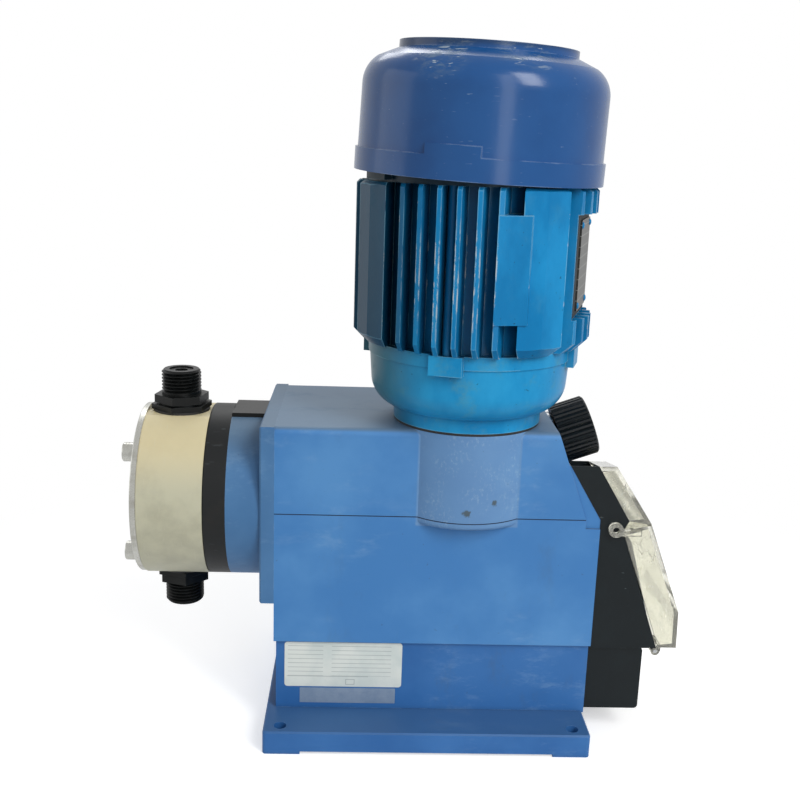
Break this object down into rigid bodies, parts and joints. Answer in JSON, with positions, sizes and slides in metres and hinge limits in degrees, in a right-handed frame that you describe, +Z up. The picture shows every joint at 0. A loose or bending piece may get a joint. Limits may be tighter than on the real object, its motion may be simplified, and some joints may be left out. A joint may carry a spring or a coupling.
{
  "type": "diaphragm metering pump",
  "caption": "Motor driven diaphragm metering pump on a foot plate: upright finned motor, worm gear housing, plastic head, stroke knob and slanted control box under a clear hinged cover.",
  "frame": {"origin": "centre of the four foot holes on the underside of the foot plate", "axes": "+Z up along the motor, -X along the pump axis to the pump head, -Y to the side that the picture shows"},
  "size_m": [0.2933, 0.154, 0.356],
  "materials": {
    "housing_paint": "satin powder coat, worn",
    "motor_paint": "gloss enamel over cast aluminium",
    "cowl_paint": "gloss enamel over pressed steel",
    "head_plastic": "aged polypropylene",
    "black_plastic": "black polypropylene",
    "box_plastic": "black glass-filled nylon",
    "clear_plastic": "clear polycarbonate, yellowed",
    "stainless": "brushed stainless steel",
    "steel": "bright ground steel",
    "zinc_steel": "zinc plated steel",
    "grey_iron": "as cast",
    "bronze": "cast bronze",
    "copper": "enamelled copper wire",
    "seal_rubber": "black nitrile rubber",
    "diaphragm_ptfe": "PTFE faced rubber",
    "cast_aluminium": "as cast",
    "ceramic_ball": "polished",
    "board_green": "glass epoxy circuit board",
    "cable_gland_plastic": "grey nylon"
  },
  "bodies": {
    "pump": {"base_plate": "housing_paint", "lower_housing": "housing_paint", "gear_housing": "housing_paint", "housing_bolts": "zinc_steel", "front_plate": "housing_paint", "plate_screws": "zinc_steel", "head_adapter": "housing_paint", "adapter_cap": "black_plastic", "support_ring": "black_plastic", "diaphragm": "diaphragm_ptfe", "pump_head": "head_plastic", "cover_disc": "stainless", "head_screws": "stainless", "discharge_union": "black_plastic", "suction_union": "black_plastic", "union_gaskets": "seal_rubber", "valve_seats": "black_plastic", "lip_seals": "seal_rubber", "guide_bush": "bronze", "return_spring": "steel", "gear_frame": "grey_iron", "shaft_bearings": "steel", "worm_bearing": "steel", "scale_ring": "cast_aluminium", "spindle_bush": "bronze", "motor_gasket": "seal_rubber", "drive_end_shield": "motor_paint", "flange_screws": "zinc_steel", "motor_housing": "motor_paint", "stator_core": "steel", "windings": "copper", "motor_bearings": "steel", "fan_end_shield": "motor_paint", "tie_bolts": "zinc_steel", "fan_cowl": "cowl_paint", "motor_terminal_box": "motor_paint", "terminal_lid": "motor_paint", "lid_screws": "zinc_steel", "cable_glands": "cable_gland_plastic", "control_box": "box_plastic", "circuit_board": "board_green", "control_panel": "box_plastic", "fixed_window": "clear_plastic", "hinge_pins": "steel", "connection_box": "box_plastic"},
    "rotor": {"motor_shaft": "steel", "rotor_core": "steel", "worm": "steel", "fan": "cable_gland_plastic"},
    "gear_shaft": {"worm_wheel": "bronze", "eccentric_shaft": "steel", "eccentric_bearing": "steel"},
    "plunger": {"pushrod": "steel", "stroke_frame": "steel", "diaphragm_core": "steel"},
    "knob": {"stroke_knob": "box_plastic"},
    "spindle": {"stop_spindle": "steel"},
    "cover": {"cover_flap": "clear_plastic"},
    "discharge_valve": {"discharge_ball": "ceramic_ball"},
    "suction_valve": {"suction_ball": "ceramic_ball"}
  },
  "joints": [
    {"name": "rotor_spin", "type": "hinge", "parent": "pump", "child": "rotor", "pos_m": [0.0173, -0.0195, 0.2], "axis": [0, 0, 1], "continuous": true},
    {"name": "gear_spin", "type": "hinge", "parent": "pump", "child": "gear_shaft", "pos_m": [-0.01982, 0, 0.1196], "axis": [0, 1, 0], "continuous": true},
    {"name": "plunger_stroke", "type": "slide", "parent": "pump", "child": "plunger", "axis": [1, 0, 0], "range_m": [0, 0.005], "deforming": ["return_spring", "diaphragm"]},
    {"name": "knob_turn", "type": "hinge", "parent": "pump", "child": "knob", "pos_m": [0.06741, 0, 0.1533], "axis": [0.9397, 0, 0.342], "range_deg": [-300, 0]},
    {"name": "spindle_shift", "type": "slide", "parent": "pump", "child": "spindle", "axis": [0.9397, 0, 0.342], "range_m": [-0.00532, 0]},
    {"name": "cover_swing", "type": "hinge", "parent": "pump", "child": "cover", "pos_m": [0.1219, 0, 0.0479], "axis": [0, 1, 0], "range_deg": [0, 105]},
    {"name": "discharge_ball_lift", "type": "slide", "parent": "pump", "child": "discharge_valve", "axis": [0, 0, 1], "range_m": [0, 0.0022]},
    {"name": "suction_ball_lift", "type": "slide", "parent": "pump", "child": "suction_valve", "axis": [0, 0, 1], "range_m": [0, 0.0022]}
  ],
  "couplings": [
    {"joint": "gear_spin", "follows": "rotor_spin", "ratio": 0.088889},
    {"joint": "knob_turn", "follows": "spindle_shift", "rad_per_m": 984.2}
  ]
}
